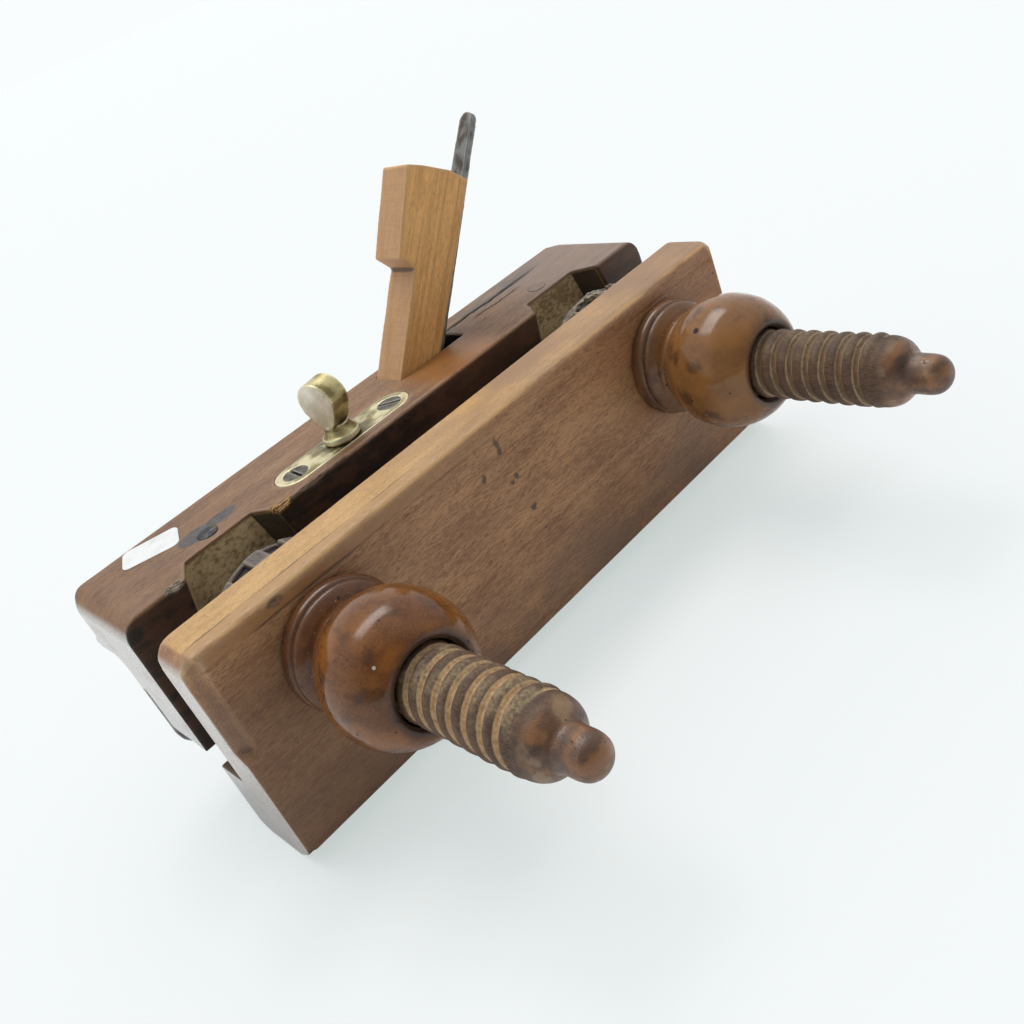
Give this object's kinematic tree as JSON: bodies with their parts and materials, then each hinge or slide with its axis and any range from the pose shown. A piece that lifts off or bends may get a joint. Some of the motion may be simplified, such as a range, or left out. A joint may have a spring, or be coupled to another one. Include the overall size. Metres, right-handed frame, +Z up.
{
  "type": "plough plane",
  "caption": "Wooden plough plane with an adjustable fence on threaded stems, turned nuts, a wedged iron, a steel skate and a brass screw depth stop.",
  "frame": {"origin": "centre of the fence's flat sole, with the plane upright as in use", "axes": "+X along the plane from toe to heel, +Y from the fence to the body, +Z up"},
  "size_m": [0.21, 0.1661, 0.1298],
  "materials": {
    "body_wood": "waxed, worn",
    "fence_wood": "waxed, worn",
    "turned_wood": "polished",
    "stem_wood": "worn",
    "wedge_wood": "bare",
    "brass": "dull, worn",
    "dark_steel": "dark, lightly rusted",
    "screw_steel": "dull"
  },
  "bodies": {
    "stock": {"body": "body_wood", "toe_stem": "stem_wood", "heel_stem": "stem_wood", "stem_nails": "dark_steel", "front_skate": "dark_steel", "rear_skate": "dark_steel", "skate_screws": "screw_steel", "depth_plate": "brass", "plate_screws": "screw_steel"},
    "fence_block": {"fence": "fence_wood"},
    "toe_nut_body": {"toe_nut": "turned_wood"},
    "heel_nut_body": {"heel_nut": "turned_wood"},
    "toe_lock_body": {"toe_lock_nut": "turned_wood"},
    "heel_lock_body": {"heel_lock_nut": "turned_wood"},
    "iron_body": {"iron": "dark_steel"},
    "wedge_body": {"wedge": "wedge_wood"},
    "thumbscrew": {"depth_screw": "brass", "screw_ring": "brass", "ring_pin": "screw_steel"},
    "shoe": {"depth_shoe": "brass"}
  },
  "joints": [
    {"name": "fence_slide", "type": "slide", "parent": "stock", "child": "fence_block", "axis": [0, 1, 0], "range_m": [-0.03, 0.0052]},
    {"name": "toe_nut_turn", "type": "hinge", "parent": "fence_block", "child": "toe_nut_body", "pos_m": [-0.069, 0, 0.0485], "axis": [0, 1, 0], "range_deg": [-2161, 375]},
    {"name": "heel_nut_turn", "type": "hinge", "parent": "fence_block", "child": "heel_nut_body", "pos_m": [0.069, 0, 0.0485], "axis": [0, 1, 0], "range_deg": [-2161, 375]},
    {"name": "toe_lock_turn", "type": "hinge", "parent": "fence_block", "child": "toe_lock_body", "pos_m": [-0.069, 0, 0.0485], "axis": [0, 1, 0], "range_deg": [-2161, 375]},
    {"name": "heel_lock_turn", "type": "hinge", "parent": "fence_block", "child": "heel_lock_body", "pos_m": [0.069, 0, 0.0485], "axis": [0, 1, 0], "range_deg": [-2161, 375]},
    {"name": "iron_slide", "type": "slide", "parent": "stock", "child": "iron_body", "axis": [0.6494, 0, 0.7604], "range_m": [0, 0.03]},
    {"name": "wedge_slide", "type": "slide", "parent": "stock", "child": "wedge_body", "axis": [0.6494, 0, 0.7604], "range_m": [0, 0.05]},
    {"name": "depth_turn", "type": "hinge", "parent": "stock", "child": "thumbscrew", "pos_m": [-0.021, 0.0287, 0.072], "axis": [0, 0, 1], "range_deg": [0, 2881]},
    {"name": "shoe_drop", "type": "slide", "parent": "stock", "child": "shoe", "axis": [0, 0, -1], "range_m": [0, 0.008]}
  ],
  "couplings": [
    {"joint": "toe_nut_turn", "follows": "fence_slide", "rad_per_m": 1256.6},
    {"joint": "heel_nut_turn", "follows": "fence_slide", "rad_per_m": 1256.6},
    {"joint": "toe_lock_turn", "follows": "fence_slide", "rad_per_m": 1256.6},
    {"joint": "heel_lock_turn", "follows": "fence_slide", "rad_per_m": 1256.6},
    {"joint": "depth_turn", "follows": "shoe_drop", "rad_per_m": 6283.2}
  ]
}
